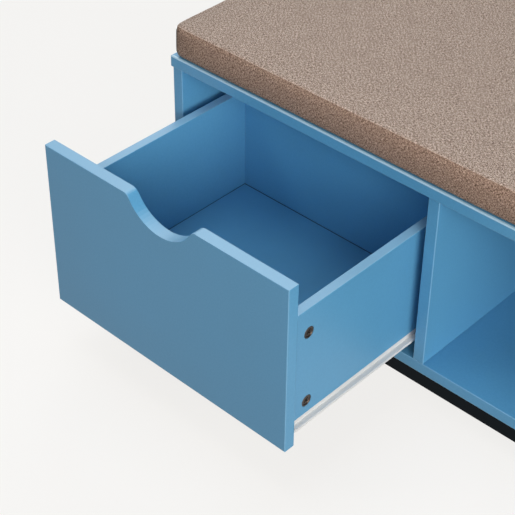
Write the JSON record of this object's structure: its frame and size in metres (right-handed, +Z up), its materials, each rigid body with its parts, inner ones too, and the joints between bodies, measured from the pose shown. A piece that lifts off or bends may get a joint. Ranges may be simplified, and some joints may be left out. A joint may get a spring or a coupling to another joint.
{
  "type": "entryway bench",
  "caption": "Low storage bench with a full-length box cushion, an open shoe bay and a scoop-notched drawer on roller slides, standing on a recessed plinth.",
  "frame": {"origin": "on the floor, at the middle of the footprint with the drawer pulled out as modelled", "axes": "+X along the bench to the open bay's end, +Y from the drawer front towards the back, +Z up"},
  "size_m": [0.809, 0.6, 0.355],
  "materials": {
    "blue_board": "satin blue melamine on particle board, edge-banded",
    "blue_hardboard": "satin blue lacquered hardboard",
    "black_plinth": "matt black melamine",
    "white_steel": "light grey epoxy coat, satin",
    "nylon": "natural nylon",
    "zinc_steel": "zinc plated",
    "dark_fitting": "dark bronze-plated zinc die casting",
    "taupe_fabric": "heathered taupe woven upholstery",
    "foam": "open-cell seat foam",
    "zip_tape": "woven zip tape and coil",
    "zip_metal": "antique brass"
  },
  "bodies": {
    "carcass": {"top_panel": "blue_board", "bottom_panel": "blue_board", "left_side_panel": "blue_board", "divider_panel": "blue_board", "right_side_panel": "blue_board", "back_panel": "blue_hardboard", "plinth_front_rail": "black_plinth", "plinth_back_rail": "black_plinth", "plinth_left_rail": "black_plinth", "plinth_centre_rail": "black_plinth", "plinth_right_rail": "black_plinth", "top_screw_left_front": "zinc_steel", "top_screw_left_rear": "zinc_steel", "top_screw_divider_front": "zinc_steel", "top_screw_divider_rear": "zinc_steel", "top_screw_right_front": "zinc_steel", "top_screw_right_rear": "zinc_steel", "low_screw_left_front": "zinc_steel", "low_screw_left_rear": "zinc_steel", "low_screw_divider_front": "zinc_steel", "low_screw_divider_rear": "zinc_steel", "low_screw_right_front": "zinc_steel", "low_screw_right_rear": "zinc_steel", "cabinet_slide_left": "white_steel", "cabinet_slide_right": "white_steel", "slide_screw_left_front": "zinc_steel", "slide_screw_left_rear": "zinc_steel", "slide_screw_right_front": "zinc_steel", "slide_screw_right_rear": "zinc_steel"},
    "cabinet_wheel_left": {"cabinet_roller_left": "nylon"},
    "cabinet_wheel_right": {"cabinet_roller_right": "nylon"},
    "drawer": {"drawer_front": "blue_board", "drawer_side_left": "blue_board", "drawer_side_right": "blue_board", "drawer_back": "blue_board", "drawer_bottom": "blue_hardboard", "cam_left_low": "dark_fitting", "cam_left_high": "dark_fitting", "cam_right_low": "dark_fitting", "cam_right_high": "dark_fitting", "cam_bolt_left_low": "zinc_steel", "cam_bolt_left_high": "zinc_steel", "cam_bolt_right_low": "zinc_steel", "cam_bolt_right_high": "zinc_steel", "back_screw_left_low": "zinc_steel", "back_screw_left_high": "zinc_steel", "back_screw_right_low": "zinc_steel", "back_screw_right_high": "zinc_steel", "drawer_slide_left": "white_steel", "drawer_slide_right": "white_steel", "runner_screw_left_front": "zinc_steel", "runner_screw_left_rear": "zinc_steel", "runner_screw_right_front": "zinc_steel", "runner_screw_right_rear": "zinc_steel"},
    "drawer_wheel_left": {"drawer_roller_left": "nylon"},
    "drawer_wheel_right": {"drawer_roller_right": "nylon"},
    "cushion": {"cushion_cover": "taupe_fabric", "foam_core": "foam", "cushion_zip": "zip_tape"},
    "zip": {"zip_slider": "zip_metal"}
  },
  "joints": [
    {"name": "drawer_pull", "type": "slide", "parent": "carcass", "child": "drawer", "axis": [0, -1, 0], "range_m": [-0.22, 0.006]},
    {"name": "cabinet_wheel_left_spin", "type": "hinge", "parent": "carcass", "child": "cabinet_wheel_left", "pos_m": [-0.37855, -0.051, 0.0776], "axis": [1, 0, 0], "continuous": true},
    {"name": "cabinet_wheel_right_spin", "type": "hinge", "parent": "carcass", "child": "cabinet_wheel_right", "pos_m": [-0.01645, -0.051, 0.0776], "axis": [1, 0, 0], "continuous": true},
    {"name": "drawer_wheel_left_spin", "type": "hinge", "parent": "drawer", "child": "drawer_wheel_left", "pos_m": [-0.3813, 0.006, 0.0776], "axis": [1, 0, 0], "continuous": true},
    {"name": "drawer_wheel_right_spin", "type": "hinge", "parent": "drawer", "child": "drawer_wheel_right", "pos_m": [-0.0137, 0.006, 0.0776], "axis": [1, 0, 0], "continuous": true},
    {"name": "cushion_lift", "type": "slide", "parent": "carcass", "child": "cushion", "axis": [0, 0, 1], "range_m": [0, 0.15]},
    {"name": "zip_run", "type": "slide", "parent": "cushion", "child": "zip", "axis": [-1, 0, 0], "range_m": [0, 0.58]}
  ],
  "couplings": [
    {"joint": "cabinet_wheel_left_spin", "follows": "drawer_pull", "rad_per_m": 125},
    {"joint": "cabinet_wheel_right_spin", "follows": "drawer_pull", "rad_per_m": 125},
    {"joint": "drawer_wheel_left_spin", "follows": "drawer_pull", "rad_per_m": 125},
    {"joint": "drawer_wheel_right_spin", "follows": "drawer_pull", "rad_per_m": 125}
  ]
}
